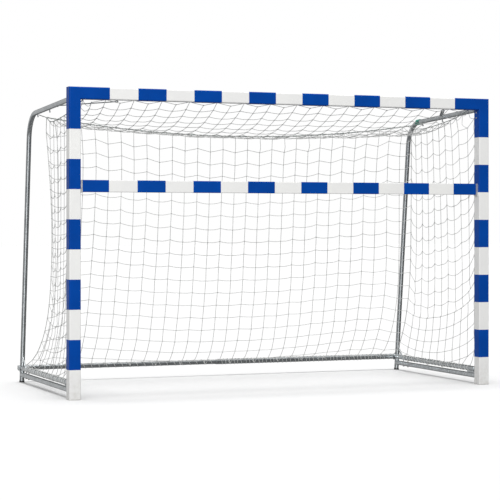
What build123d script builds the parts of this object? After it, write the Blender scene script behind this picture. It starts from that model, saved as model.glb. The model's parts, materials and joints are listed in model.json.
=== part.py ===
from build123d import *
import math
import os

# A free-standing goal, 3 m by 2 m between the posts, with folding net brackets and a bar that
# lowers the goal's height. Millimetres, +Z up, +X along the crossbar, +Y from the mouth into the net.
# Depths are measured from the front faces of the posts, and the whole is centred on its footprint
# when it is written out.

# ---- Driving dimensions ----
INNER_WIDTH = 3000.0        # between the posts
INNER_HEIGHT = 2000.0       # floor to the underside of the crossbar
PROFILE = 80.0              # side of the square post and crossbar profile
PROFILE_WALL = 3.0
PROFILE_RADIUS = 8.0
BAND = 200.0                # length of one coloured band
CORNER_BAND = 280.0         # coloured length at each upper corner, outside measure
FILM = 0.5                  # thickness of the coloured film

TOP_DEPTH = 1200.0          # front face to where the arm and the leg would meet
BASE_DEPTH = 1430.0         # front face to the middle of the rear foot
ARM_HEIGHT = INNER_HEIGHT + 6.0      # middle of the arm at the upper hinge
ARM_DROP = 46.0             # how much lower the arm is at its rear end
BEND_RADIUS = 200.0
TUBE = 35.0                 # outside diameter of arms, legs, rails and the thin rear tube
TUBE_WALL = 2.0
LOWER_RAIL_HEIGHT = 57.0
RAIL_GAP = 13.0             # between the two side rails
RAIL_HEIGHT = LOWER_RAIL_HEIGHT + TUBE + RAIL_GAP   # also the rear tube's middle

HINGE_OFFSET = 40.0         # post's rear face to the hinge pin
PIN = 12.0
PIN_CLEARANCE = 0.05        # radial, pin in its holes
SLEEVE = 26.0
SLEEVE_LENGTH = 40.0
PLATE = 4.0                 # hinge plates against the posts
LUG = 5.0                   # hinge lugs
LUG_GAP = 0.5               # between a lug and the sleeve

REAR_TUBE = TUBE + 5.0      # outside diameter of the thick half of the rear tube
PLUG_LENGTH = 120.0         # how far the thin half goes into the thick half
PLUG_CLEARANCE = 0.1        # radial
REST_GAP = 1.0              # rear tube to the leg in front of it
LEDGE = 5.0                 # plate under each end of the rear tube

BRACE_REACH = 306.0         # hinge pin to the brace's pivot, along the crossbar
BRACE_ALONG = 480.0         # hinge pin to the brace's latch pin, along the arm
BRACE_INSET = 35.0          # latch pin to the arm's middle
BRACE_WIDTH = 25.0
BRACE_THICK = 5.0
LATCH_PIN = 10.0
LATCH_CLEARANCE = 0.5

BAR_HEIGHT = 1382.0         # floor to the underside of the lowering bar
BAR_TALL = 80.0
BAR_DEEP = 40.0
BAR_WALL = 2.5
BAR_RADIUS = 5.0
BAR_GAP = 17.0              # end of the bar's profile to the post

FOOT_CAP = 4.0              # thickness under each post and each leg
SCREW = 8.0
SCREW_CLEARANCE = 0.2       # radial, screw in its hole

HOOK_PITCH = 200.0
NET_SHEET = 1.2             # thickness of the plain sheets that hold the net's place
ROPE = 8.0

# ---- Places that follow from them ----
HALF_OUTER = INNER_WIDTH / 2 + PROFILE
OUTER_HEIGHT = INNER_HEIGHT + PROFILE
BRACKET_X = INNER_WIDTH / 2 + PROFILE / 2
HINGE_Y = PROFILE + HINGE_OFFSET
ARM_END_HEIGHT = ARM_HEIGHT - ARM_DROP
ARM_SLOPE = ARM_DROP / (TOP_DEPTH - HINGE_Y)
LEG_SLOPE = (BASE_DEPTH - TOP_DEPTH) / ARM_END_HEIGHT


def arm_z(y):
    """Height of the arm's middle at a depth."""
    return ARM_HEIGHT - ARM_SLOPE * (y - HINGE_Y)


def leg_y(z):
    """Depth of the leg's middle at a height."""
    return BASE_DEPTH - LEG_SLOPE * z


REAR_TUBE_Y = leg_y(RAIL_HEIGHT) + TUBE / 2 + REST_GAP + REAR_TUBE / 2
CENTRE_Y = (REAR_TUBE_Y + REAR_TUBE / 2 - FILM) / 2

NODES = {}


# ---- Small building blocks ----
def block(x, y, z):
    """A box between pairs of limits."""
    size = (x[1] - x[0], y[1] - y[0], z[1] - z[0])
    middle = ((x[0] + x[1]) / 2, (y[0] + y[1]) / 2, (z[0] + z[1]) / 2)
    return Pos(*middle) * Box(*size)


def rod(start, end, radius):
    """A round bar between two points."""
    line = Line(start, end)
    return sweep(Plane(origin=start, z_dir=line % 0) * Circle(radius), path=line)


def pipe(start, end, diameter, wall):
    """A straight tube between two points."""
    return rod(start, end, diameter / 2) - rod(start, end, diameter / 2 - wall)


def hollow_section(width, height, wall, radius):
    """A square-cornered tube's section with rounded edges."""
    inner_radius = max(radius - wall, 0.5)
    outer = RectangleRounded(width, height, radius)
    return outer - RectangleRounded(width - 2 * wall, height - 2 * wall, inner_radius)


def upright(section, x, y, low, high):
    """A section drawn up from one height to another."""
    return Pos(x, y, low) * extrude(section, high - low)


def crosswise(section, y, z, low, high):
    """A section drawn along X."""
    plane = Plane(origin=(low, y, z), x_dir=(0, 1, 0), z_dir=(1, 0, 0))
    return extrude(plane * section, high - low)


def mitre(sign):
    """The plane between a post and the crossbar, facing the crossbar."""
    return Plane(origin=(sign * INNER_WIDTH / 2, 0, INNER_HEIGHT), z_dir=(-sign, 0, 1))


def group(solids):
    """Several separate solids in one node."""
    return Compound(children=list(solids))


def mirrored(shape):
    return mirror(shape, about=Plane.YZ)


def add(name, shape):
    NODES[name] = shape


def add_pair(name, right_shape):
    """The same piece on the right side and, mirrored, on the left, as two nodes."""
    NODES[f"right_{name}"] = right_shape
    NODES[f"left_{name}"] = mirrored(right_shape)


def add_both(name, right_shapes):
    """Identical pieces of both sides, as separate solids in one node."""
    NODES[name] = group(list(right_shapes) + [mirrored(shape) for shape in right_shapes])


# ---- Net hooks ----
HOOK_WIDTH = 16.0
HOOK_TALL = 24.0
HOOK_REACH = 17.0
HOOK_BASE = 3.0
HOOK_STEM = 6.0
HOOK_TIP = 0.7              # height of the upturned tip, as a share of the base's


def net_hook(x, z):
    """A hook on a rear face: a base, a stem and an upturned tip."""
    y = PROFILE
    half = HOOK_STEM / 2
    base = block((x - HOOK_WIDTH / 2, x + HOOK_WIDTH / 2), (y, y + HOOK_BASE), (z, z + HOOK_TALL))
    stem = block((x - half, x + half), (y + HOOK_BASE, y + HOOK_REACH), (z, z + HOOK_STEM))
    tip_front = y + HOOK_REACH - HOOK_STEM / 2
    tip = block((x - half, x + half), (tip_front, y + HOOK_REACH), (z, z + HOOK_TALL * HOOK_TIP))
    return base + stem + tip


POST_HOOK_INSET = 14.0
POST_HOOK_X = INNER_WIDTH / 2 + POST_HOOK_INSET
POST_HOOK_LOW = 240.0
post_hook_count = int((INNER_HEIGHT - 2 * POST_HOOK_LOW) / HOOK_PITCH) + 1
post_hook_heights = [POST_HOOK_LOW + i * HOOK_PITCH for i in range(post_hook_count)]
post_hooks = [net_hook(POST_HOOK_X, z) for z in post_hook_heights]
add_both("post_hooks", post_hooks)

CROSSBAR_HOOK_Z = INNER_HEIGHT + 2.0
hook_span = int((INNER_WIDTH / 2 - HOOK_PITCH / 4) / HOOK_PITCH)
hook_places = [i * HOOK_PITCH for i in range(-hook_span, hook_span + 1)]
crossbar_hooks = [net_hook(x, CROSSBAR_HOOK_Z) for x in hook_places]
add("crossbar_hooks", group(crossbar_hooks))

# ---- Hinges between the posts and the net brackets ----
HINGE_PLATE_WIDTH = 50.0
HINGE_PLATE_MARGIN = 9.0
SLEEVE_PLUG = 45.0
PIN_HEAD = 0.8              # radius of a head, as a share of the shank's diameter
BOLT_INSET = 6.0            # hinge bolt to the plate's edge
BOLT_DEPTH = 10.0
BOLT_HEAD = 5.0
HOLE_EXTRA = 10.0           # how far a screw hole runs past its screw
hole_radius = PIN / 2 + PIN_CLEARANCE


def hinge_plate(z):
    """The plate on the post's rear face, with a lug above and a lug below the sleeve."""
    half_gap = SLEEVE_LENGTH / 2 + LUG_GAP
    half_tall = half_gap + LUG + HINGE_PLATE_MARGIN
    x = (BRACKET_X - HINGE_PLATE_WIDTH / 2, BRACKET_X + HINGE_PLATE_WIDTH / 2)
    shape = block(x, (PROFILE, PROFILE + PLATE), (z - half_tall, z + half_tall))
    for low in (z - half_gap - LUG, z + half_gap):
        lug_x = (BRACKET_X - SLEEVE / 2, BRACKET_X + SLEEVE / 2)
        lug = block(lug_x, (PROFILE + PLATE, HINGE_Y), (low, low + LUG))
        lug += Pos(BRACKET_X, HINGE_Y, low + LUG / 2) * Cylinder(SLEEVE / 2, LUG)
        shape += lug
    return shape - Pos(BRACKET_X, HINGE_Y, z) * Cylinder(hole_radius, 2 * half_tall)


def hinge_pin(z):
    """A headed pin through both lugs."""
    top = z + SLEEVE_LENGTH / 2 + LUG_GAP + LUG
    bottom = z - SLEEVE_LENGTH / 2 - LUG_GAP - LUG
    shank = Pos(BRACKET_X, HINGE_Y, (top + bottom) / 2) * Cylinder(PIN / 2, top - bottom)
    head = Pos(BRACKET_X, HINGE_Y, top + LUG / 2) * Cylinder(PIN * PIN_HEAD, LUG)
    return shank + head


def hinge_sleeve(z, slope):
    """The sleeve that turns on the pin, with the plug that the bracket's tube is pressed over."""
    outer = Pos(BRACKET_X, HINGE_Y, z) * Cylinder(SLEEVE / 2, SLEEVE_LENGTH)
    plug_end = (BRACKET_X, HINGE_Y + SLEEVE_PLUG, z - slope * SLEEVE_PLUG)
    outer += rod((BRACKET_X, HINGE_Y, z), plug_end, TUBE / 2 - TUBE_WALL - PLUG_CLEARANCE)
    return outer - Pos(BRACKET_X, HINGE_Y, z) * Cylinder(hole_radius, SLEEVE_LENGTH)


def hinge_bolt(x, z):
    """A bolt that holds a hinge plate to the post."""
    face = PROFILE + PLATE
    shank = rod((x, PROFILE - BOLT_DEPTH, z), (x, face, z), SCREW / 2)
    head = rod((x, face, z), (x, face + BOLT_HEAD, z), SCREW * PIN_HEAD)
    return shank + head


hinge_bolts = []
bolt_holes = []
for hinge_z in (ARM_HEIGHT, RAIL_HEIGHT):
    for side in (-1, 1):
        bolt_x = BRACKET_X + side * (HINGE_PLATE_WIDTH / 2 - BOLT_INSET)
        hinge_bolts.append(hinge_bolt(bolt_x, hinge_z))
        hole_end = (bolt_x, PROFILE - BOLT_DEPTH - HOLE_EXTRA, hinge_z)
        hole = rod(hole_end, (bolt_x, PROFILE + PLATE, hinge_z), SCREW / 2 + SCREW_CLEARANCE)
        bolt_holes.append(hole)

hinge_plates = []
for hinge_z in (ARM_HEIGHT, RAIL_HEIGHT):
    plate = hinge_plate(hinge_z)
    for hole in bolt_holes:
        plate -= hole
    hinge_plates.append(plate)
add_both("upper_hinge_plates", hinge_plates[:1])
add_both("lower_hinge_plates", hinge_plates[1:])
add_both("hinge_pins", [hinge_pin(ARM_HEIGHT), hinge_pin(RAIL_HEIGHT)])
add_both("hinge_bolts", hinge_bolts)
add_pair("hinge_sleeves", group([hinge_sleeve(ARM_HEIGHT, ARM_SLOPE), hinge_sleeve(RAIL_HEIGHT, 0)]))

# ---- Corner connectors inside the mitred corners, and their screws ----
CONNECTOR_ARM = 120.0
CONNECTOR_WALL = 5.0
CONNECTOR_CLEARANCE = 0.2
CORNER_SCREW_DROPS = (18.0, 58.0)    # below the crossbar's underside
CORNER_SCREW_HEAD = 4.0
CORNER_SCREW_DEPTH = 12.0
BAR_MIDDLE = INNER_HEIGHT + PROFILE / 2
INNER_FACE = INNER_WIDTH / 2
connector_size = PROFILE - 2 * PROFILE_WALL - 2 * CONNECTOR_CLEARANCE
connector_section = hollow_section(connector_size, connector_size, CONNECTOR_WALL,
                                   PROFILE_RADIUS - PROFILE_WALL)
corner_plane = mitre(1)
upright_arm = upright(connector_section, BRACKET_X, PROFILE / 2,
                      INNER_HEIGHT - CONNECTOR_ARM, OUTER_HEIGHT)
level_arm = crosswise(connector_section, PROFILE / 2, BAR_MIDDLE,
                      INNER_FACE - CONNECTOR_ARM, HALF_OUTER)
connector = split(upright_arm, bisect_by=corner_plane, keep=Keep.BOTTOM)
connector += split(level_arm, bisect_by=corner_plane, keep=Keep.TOP)

corner_screws = []
screw_holes = []
for drop in CORNER_SCREW_DROPS:
    z = INNER_HEIGHT - drop
    face = (INNER_FACE, PROFILE / 2, z)
    shank_end = (INNER_FACE + CORNER_SCREW_DEPTH, PROFILE / 2, z)
    hole_end = (INNER_FACE + CORNER_SCREW_DEPTH + HOLE_EXTRA, PROFILE / 2, z)
    head = rod((INNER_FACE - CORNER_SCREW_HEAD, PROFILE / 2, z), face, SCREW * PIN_HEAD)
    corner_screws.append(head + rod(face, shank_end, SCREW / 2))
    screw_holes.append(rod(face, hole_end, SCREW / 2 + SCREW_CLEARANCE))
for hole in screw_holes + bolt_holes:
    connector -= hole
add_both("corner_connectors", [connector])
add_both("corner_screws", corner_screws)

# ---- Posts, their feet and the crossbar ----
profile_section = hollow_section(PROFILE, PROFILE, PROFILE_WALL, PROFILE_RADIUS)
post = upright(profile_section, BRACKET_X, PROFILE / 2, FOOT_CAP, OUTER_HEIGHT)
post = split(post, bisect_by=corner_plane, keep=Keep.BOTTOM)
for hole in screw_holes + bolt_holes:
    post -= hole

crossbar = crosswise(profile_section, PROFILE / 2, BAR_MIDDLE, -HALF_OUTER, HALF_OUTER)
for side in (-1, 1):
    crossbar = split(crossbar, bisect_by=mitre(side), keep=Keep.TOP)

FOOT_PLUG = 25.0
foot = upright(RectangleRounded(PROFILE, PROFILE, PROFILE_RADIUS), BRACKET_X, PROFILE / 2, 0, FOOT_CAP)
foot += upright(connector_section, BRACKET_X, PROFILE / 2, FOOT_CAP, FOOT_CAP + FOOT_PLUG)
add_both("post_feet", [foot])

# ---- Lowering bar: hangs by a tongue at each end in an open-topped holder ----
HOLDER_BASE = 3.0
HOLDER_FLANGE = 6.0
HOLDER_LEDGE = 8.0
END_CAP = 4.0
TONGUE_SIDE_GAP = 2.0
TONGUE_END_GAP = 4.0
TONGUE_TOP_GAP = 8.0
TONGUE_REST_GAP = 0.3       # tongue to the holder's ledge
CAP_GAP = 0.5               # end cap to the holder's flanges
HOLDER_SCREW = 5.0
HOLDER_SCREW_INSET = 20.0
HOLDER_SCREW_DEPTH = 10.0
HOLDER_HEAD = 2.0
bar_front = (PROFILE - BAR_DEEP) / 2
bar_back = bar_front + BAR_DEEP
bar_top = BAR_HEIGHT + BAR_TALL
bar_end = INNER_FACE - BAR_GAP
cap_end = bar_end + END_CAP
flange_start = cap_end + CAP_GAP
base_start = INNER_FACE - HOLDER_BASE
ledge_low = BAR_HEIGHT - HOLDER_LEDGE

holder = block((base_start, INNER_FACE), (bar_front, bar_back), (ledge_low, bar_top))
for edge in (bar_front, bar_back - HOLDER_FLANGE):
    holder += block((flange_start, base_start), (edge, edge + HOLDER_FLANGE), (BAR_HEIGHT, bar_top))
holder += block((flange_start, base_start), (bar_front, bar_back), (ledge_low, BAR_HEIGHT))

holder_screws = []
holder_holes = []
for z in (BAR_HEIGHT + HOLDER_SCREW_INSET, bar_top - HOLDER_SCREW_INSET):
    seat = (base_start, PROFILE / 2, z)
    shank_end = (INNER_FACE + HOLDER_SCREW_DEPTH, PROFILE / 2, z)
    hole_end = (INNER_FACE + HOLDER_SCREW_DEPTH + HOLE_EXTRA, PROFILE / 2, z)
    head = rod((base_start - HOLDER_HEAD, PROFILE / 2, z), seat, HOLDER_SCREW * PIN_HEAD)
    holder_screws.append(head + rod(seat, shank_end, HOLDER_SCREW / 2))
    holder_holes.append(rod(seat, hole_end, HOLDER_SCREW / 2 + SCREW_CLEARANCE))
for hole in holder_holes:
    holder -= hole
    post -= hole
add_both("bar_holders", [holder])
add_both("holder_screws", holder_screws)

end_cap = block((bar_end, cap_end), (bar_front, bar_back), (BAR_HEIGHT, bar_top))
tongue_y = (bar_front + HOLDER_FLANGE + TONGUE_SIDE_GAP, bar_back - HOLDER_FLANGE - TONGUE_SIDE_GAP)
tongue_z = (BAR_HEIGHT + TONGUE_REST_GAP, bar_top - TONGUE_TOP_GAP)
end_cap += block((cap_end, base_start - TONGUE_END_GAP), tongue_y, tongue_z)
add_both("bar_end_caps", [end_cap])

bar_section = hollow_section(BAR_DEEP, BAR_TALL, BAR_WALL, BAR_RADIUS)
bar_middle = BAR_HEIGHT + BAR_TALL / 2
add("lowering_bar", crosswise(bar_section, PROFILE / 2, bar_middle, -bar_end, bar_end))

# ---- Coloured bands: thin film round the profiles ----
film_section = hollow_section(PROFILE + 2 * FILM, PROFILE + 2 * FILM, FILM, PROFILE_RADIUS + FILM)
bar_film_section = hollow_section(BAR_DEEP + 2 * FILM, BAR_TALL + 2 * FILM, FILM, BAR_RADIUS + FILM)
corner_low = OUTER_HEIGHT - CORNER_BAND
corner_start = HALF_OUTER - CORNER_BAND


def bar_band(start, end):
    """Film round the lowering bar."""
    return crosswise(bar_film_section, PROFILE / 2, bar_middle, start, end)


def crossbar_band(start, end):
    """Film round the crossbar."""
    return crosswise(film_section, PROFILE / 2, BAR_MIDDLE, start, end)


def cleared(bands, fixtures):
    """Bands cut away where something is fixed through them."""
    trimmed = []
    for band in bands:
        for fixture in fixtures:
            band -= fixture
        trimmed.append(band)
    return trimmed


corner_post_band = upright(film_section, BRACKET_X, PROFILE / 2, corner_low, OUTER_HEIGHT + FILM)
post_bands = [split(corner_post_band, bisect_by=corner_plane, keep=Keep.BOTTOM)]
band_top = corner_low - BAND
while band_top - BAND > 0:
    post_bands.append(upright(film_section, BRACKET_X, PROFILE / 2, band_top - BAND, band_top))
    band_top -= 2 * BAND
post_fixtures = hinge_plates + [holder] + post_hooks + corner_screws + hinge_bolts + holder_holes
add_both("post_bands", cleared(post_bands, post_fixtures))

band_count = round((2 * corner_start / BAND - 1) / 2)
level_starts = [-corner_start + BAND + 2 * BAND * i for i in range(band_count)]
corner_band = crossbar_band(corner_start, HALF_OUTER + FILM)
corner_band = split(corner_band, bisect_by=corner_plane, keep=Keep.TOP)
crossbar_bands = [corner_band, mirrored(corner_band)]
end_band = bar_band(corner_start, bar_end)
bar_bands = [end_band, mirrored(end_band)]
for start in level_starts:
    crossbar_bands.append(crossbar_band(start, start + BAND))
    bar_bands.append(bar_band(start, start + BAND))
add("lowering_bar_bands", group(bar_bands))

# ---- Net brackets: arm, bend and leg in one bent tube, and the side rails ----
TUBE_START = HINGE_Y + SLEEVE / 2 + 1
corner = Vector(BRACKET_X, TOP_DEPTH, ARM_END_HEIGHT)
bracket_path = FilletPolyline((BRACKET_X, HINGE_Y, ARM_HEIGHT), tuple(corner),
                              (BRACKET_X, leg_y(FOOT_CAP), FOOT_CAP), radius=BEND_RADIUS)
ring = Circle(TUBE / 2) - Circle(TUBE / 2 - TUBE_WALL)
bracket_start = Plane(origin=(BRACKET_X, HINGE_Y, ARM_HEIGHT), z_dir=(0, 1, -ARM_SLOPE))
bracket_tube = sweep(bracket_start * ring, path=bracket_path)
bracket_tube &= block((0, 2 * HALF_OUTER), (TUBE_START, 2 * BASE_DEPTH), (FOOT_CAP, OUTER_HEIGHT))
add_pair("bracket_tube", bracket_tube)


def on_arm(y):
    """The point on the arm's middle line at a depth."""
    return (BRACKET_X, y, arm_z(y))


def on_leg(z):
    """The point on the leg's middle line at a height."""
    return (BRACKET_X, leg_y(z), z)


arm_core = rod(on_arm(HINGE_Y), on_arm(TOP_DEPTH), TUBE / 2)
leg_core = rod(on_leg(-TUBE), on_leg(ARM_END_HEIGHT / 4), TUBE / 2)


RAIL_SHORT = 1.0            # end of a side rail to the leg's middle line


def side_rail(start_y, z):
    """A straight rail from a depth to the leg, shaped to the leg's front."""
    rail_end = (BRACKET_X, leg_y(z) - RAIL_SHORT, z)
    return pipe((BRACKET_X, start_y, z), rail_end, TUBE, TUBE_WALL) - leg_core


LOWER_RAIL_FRONT = HINGE_Y - 16.0
upper_rail = side_rail(TUBE_START, RAIL_HEIGHT)
lower_rail = side_rail(LOWER_RAIL_FRONT, LOWER_RAIL_HEIGHT)

RAIL_BOLT_PLACES = (130.0, 205.0)    # in front of the leg's foot
RAIL_BOLT_HEAD = 6.0
RAIL_BOLT_WIDTH = 0.9                # radius of a hexagonal head, as a share of the shank's diameter
RAIL_BOLT_RISE = 8.0                 # into the upper rail
rail_bottom = LOWER_RAIL_HEIGHT - TUBE / 2
rail_bolts = []
for back in RAIL_BOLT_PLACES:
    bolt_y = BASE_DEPTH - back
    head_low = (BRACKET_X, bolt_y, rail_bottom - RAIL_BOLT_HEAD)
    shank_top = (BRACKET_X, bolt_y, RAIL_HEIGHT - TUBE / 2 + RAIL_BOLT_RISE)
    hexagon = extrude(RegularPolygon(SCREW * RAIL_BOLT_WIDTH, 6), RAIL_BOLT_HEAD)
    rail_bolts.append(rod(head_low, shank_top, SCREW / 2) + Pos(*head_low) * hexagon)
    hole = rod(head_low, (BRACKET_X, bolt_y, RAIL_HEIGHT), SCREW / 2 + SCREW_CLEARANCE)
    upper_rail -= hole
    lower_rail -= hole
add_pair("upper_rail", upper_rail)
add_pair("lower_rail", lower_rail)
add_pair("rail_bolts", group(rail_bolts))

RAIL_CAP = 4.0
RAIL_CAP_PLUG = 15.0
rail_face = (BRACKET_X, LOWER_RAIL_FRONT, LOWER_RAIL_HEIGHT)
cap_face = (BRACKET_X, LOWER_RAIL_FRONT - RAIL_CAP, LOWER_RAIL_HEIGHT)
cap_plug = (BRACKET_X, LOWER_RAIL_FRONT + RAIL_CAP_PLUG, LOWER_RAIL_HEIGHT)
rail_cap = rod(cap_face, rail_face, TUBE / 2)
rail_cap += rod(rail_face, cap_plug, TUBE / 2 - TUBE_WALL - PLUG_CLEARANCE)
add_pair("rail_cap", rail_cap)

WEB_THICK = 5.0
WEB_START = HINGE_Y + 30.0
WEB_LENGTH = 100.0
web_x = (BRACKET_X - WEB_THICK / 2, BRACKET_X + WEB_THICK / 2)
web = block(web_x, (WEB_START, WEB_START + WEB_LENGTH), (LOWER_RAIL_HEIGHT, RAIL_HEIGHT))
for z in (LOWER_RAIL_HEIGHT, RAIL_HEIGHT):
    web -= rod((BRACKET_X, HINGE_Y, z), (BRACKET_X, WEB_START + 2 * WEB_LENGTH, z), TUBE / 2)
add_pair("rail_web", web)

KNEE = 95.0                 # reach of the knee brace up the leg and along the rail
KNEE_ROD = 12.0
knee_front = (BRACKET_X, leg_y(RAIL_HEIGHT) - KNEE, RAIL_HEIGHT)
rail_core = rod((BRACKET_X, HINGE_Y, RAIL_HEIGHT), on_leg(RAIL_HEIGHT), TUBE / 2)
knee = rod(on_leg(RAIL_HEIGHT + KNEE), knee_front, KNEE_ROD / 2)
add_pair("knee_brace", knee - leg_core - rail_core)

FOOT_SLEEVE = 12.0          # height of the cap round each leg's end
FOOT_WALL = 2.0
beside = (0, 2 * HALF_OUTER)
along_depth = (0, 2 * BASE_DEPTH)
leg_foot = rod(on_leg(-TUBE), on_leg(FOOT_SLEEVE), TUBE / 2 + FOOT_WALL)
leg_foot -= leg_core & block(beside, along_depth, (FOOT_CAP, ARM_END_HEIGHT))
leg_foot &= block(beside, along_depth, (0, ARM_END_HEIGHT))
add_pair("leg_foot", leg_foot)

LEDGE_WIDTH = 30.0
LEDGE_GAP = 0.3             # rear tube to its ledge
ledge_top = RAIL_HEIGHT - REAR_TUBE / 2 - LEDGE_GAP
ledge_x = (BRACKET_X - LEDGE_WIDTH / 2, BRACKET_X + LEDGE_WIDTH / 2)
ledge_y = (leg_y(RAIL_HEIGHT), REAR_TUBE_Y + LEDGE)
ledge = block(ledge_x, ledge_y, (ledge_top - LEDGE, ledge_top))
add_pair("rear_tube_ledge", ledge - leg_core)

# ---- Arm hooks, and the lug with the brace's latch pin ----
ARM_HOOK_PLACES = (525.0, 850.0)     # behind the hinge pin
ARM_HOOK_ROD = 6.0
ARM_HOOK_STEM = 8.0
ARM_HOOK_DROP = 20.0
ARM_HOOK_LIP = 10.0
hook_x = (BRACKET_X - ARM_HOOK_ROD / 2, BRACKET_X + ARM_HOOK_ROD / 2)
arm_hooks = []
for along in ARM_HOOK_PLACES:
    hook_front = HINGE_Y + along - ARM_HOOK_STEM / 2
    low = arm_z(HINGE_Y + along) - TUBE / 2 - ARM_HOOK_DROP
    hook_top = low + ARM_HOOK_DROP + TUBE_WALL
    hook = block(hook_x, (hook_front, hook_front + ARM_HOOK_STEM), (low, hook_top))
    hook += block(hook_x, (hook_front - ARM_HOOK_LIP, hook_front), (low, low + ARM_HOOK_ROD))
    arm_hooks.append(hook - arm_core)
add_pair("arm_hooks", group(arm_hooks))

LUG_LENGTH = 28.0
LUG_REACH = 12.0            # beyond the latch pin
LATCH_RISE = 8.0
PIVOT_INSET = 20.0          # brace's pivot to the crossbar's rear face
BRACE_DROP = 6.0            # crossbar's underside to the brace
BRACE_GAP = 0.5             # brace to the lug below it
latch_y = HINGE_Y + BRACE_ALONG
latch_x = BRACKET_X - BRACE_INSET
pivot_x = BRACKET_X - BRACE_REACH
pivot_y = PROFILE - PIVOT_INSET
brace_low = INNER_HEIGHT - BRACE_DROP - BRACE_THICK
lug_top = brace_low - BRACE_GAP
lug_y = (latch_y - LUG_LENGTH / 2, latch_y + LUG_LENGTH / 2)
lug = block((latch_x - LUG_REACH, BRACKET_X), lug_y, (lug_top - LUG, lug_top)) - arm_core
lug += Pos(latch_x, latch_y, lug_top + LATCH_RISE / 2) * Cylinder(LATCH_PIN / 2, LATCH_RISE)
add_pair("latch_lug", lug)

# ---- Folding brace: turns on a bolt under the crossbar, hooks over the latch pin ----
brace_length = math.hypot(latch_x - pivot_x, latch_y - pivot_y)
brace_angle = math.degrees(math.atan2(latch_y - pivot_y, latch_x - pivot_x))
RELEASE_ANGLE = 236.0       # direction in which the pin leaves the hook, from the brace's own line
flat = SlotCenterToCenter(brace_length, BRACE_WIDTH)
flat = Pos(brace_length / 2, 0) * flat
flat -= Circle(SCREW / 2 + PIN_CLEARANCE)
slot_end = Pos(brace_length, 0) * Rot(0, 0, RELEASE_ANGLE)
slot_width = LATCH_PIN + 2 * LATCH_CLEARANCE
flat -= slot_end * (Pos(BRACE_WIDTH / 2, 0) * SlotCenterToCenter(BRACE_WIDTH, slot_width))
brace = Pos(pivot_x, pivot_y, brace_low) * Rot(0, 0, brace_angle) * extrude(flat, BRACE_THICK)
add_pair("brace", brace)

WASHER_GAP = 0.3            # brace to the spacer above it and the bolt's head below it
BRACE_BOLT_HEAD = 6.0
BRACE_BOLT_DEPTH = 12.0
brace_top = brace_low + BRACE_THICK
spacer_low = brace_top + WASHER_GAP
spacer = Cylinder(SCREW, INNER_HEIGHT - spacer_low)
spacer -= Cylinder(SCREW / 2 + SCREW_CLEARANCE, PROFILE)
add_both("brace_spacers", [Pos(pivot_x, pivot_y, (INNER_HEIGHT + spacer_low) / 2) * spacer])


def on_pivot(z):
    """The point on the brace's pivot at a height."""
    return (pivot_x, pivot_y, z)


head_top = on_pivot(brace_low - WASHER_GAP)
bolt_top = on_pivot(INNER_HEIGHT + BRACE_BOLT_DEPTH)
brace_bolt = rod(on_pivot(brace_low - WASHER_GAP - BRACE_BOLT_HEAD), head_top, SCREW * PIN_HEAD)
brace_bolt += rod(head_top, bolt_top, SCREW / 2)
add_both("brace_bolts", [brace_bolt])
bore_top = on_pivot(INNER_HEIGHT + BRACE_BOLT_DEPTH + HOLE_EXTRA)
bolt_bore = rod(on_pivot(spacer_low), bore_top, SCREW / 2 + SCREW_CLEARANCE)
crossbar -= bolt_bore
crossbar -= mirrored(bolt_bore)

spacer_seat = rod(on_pivot(spacer_low), on_pivot(INNER_HEIGHT), SCREW)
crossbar_fixtures = list(crossbar_hooks)
for fixture in (hinge_plates[0], bolt_bore, spacer_seat):
    crossbar_fixtures += [fixture, mirrored(fixture)]
add("crossbar_bands", group(cleared(crossbar_bands, crossbar_fixtures)))

add_pair("post", post)
add("crossbar", crossbar)

# ---- Rear tube: a thin half plugged into a thick half, behind the legs ----
STOP = 4.0
STOP_GAP = 1.0              # stop to the leg's outer side
STOP_TAB = 30.0             # height of the tab beside the leg
STOP_REACH = 8.0            # tab past the leg's middle line
tube_end = BRACKET_X + TUBE / 2 + STOP_GAP
thick_wall = REAR_TUBE / 2 - TUBE / 2 - PLUG_CLEARANCE


def on_rear_tube(x):
    """The point on the rear tube's middle line at a place across the goal."""
    return (x, REAR_TUBE_Y, RAIL_HEIGHT)


add("rear_tube_thick", pipe(on_rear_tube(0), on_rear_tube(tube_end), REAR_TUBE, thick_wall))
add("rear_tube_thin", pipe(on_rear_tube(-tube_end), on_rear_tube(PLUG_LENGTH), TUBE, TUBE_WALL))

stop_x = (tube_end, tube_end + STOP)
tab_y = (leg_y(RAIL_HEIGHT) - STOP_REACH, REAR_TUBE_Y)
tab_z = (RAIL_HEIGHT - STOP_TAB / 2, RAIL_HEIGHT + STOP_TAB / 2)
end_stop = rod(on_rear_tube(tube_end), on_rear_tube(tube_end + STOP), REAR_TUBE / 2)
end_stop += block(stop_x, tab_y, tab_z)
add_pair("rear_tube_stop", end_stop)

# ---- Net: plain sheets and ropes that hold its place ----
NET_FRONT = PROFILE + HOOK_REACH + 6.0
NET_TOP = lug_top - LUG - 12.0
NET_SIDE_X = INNER_WIDTH / 2 - 40.0
NET_BOTTOM = RAIL_HEIGHT + TUBE / 2 + 6.0
NET_END_Y = leg_y(RAIL_HEIGHT) - TUBE / 2 - 12.0
REAR_TOP_Y = TOP_DEPTH - 170.0
REAR_TOP_Z = ARM_END_HEIGHT - 40.0
REAR_TOP = (REAR_TOP_Y, REAR_TOP_Z)
NET_HANG = ((0.66, -60.0), (0.41, -50.0), (0.23, 30.0), (0.115, 200.0))
ROPE_SAG = 110.0
ROPE_BACK = 6.0             # rear rope behind the sheets' upper edge
ROPE_RISE = 16.0            # and above it
TIE = 6.0
SHEET_INSET = 20.0          # rear sheet to the side sheets
SIDE_INSET_Y = 12.0         # side sheets to the rear sheet
SIDE_INSET_Z = 8.0          # side sheets to the top sheet

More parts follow.
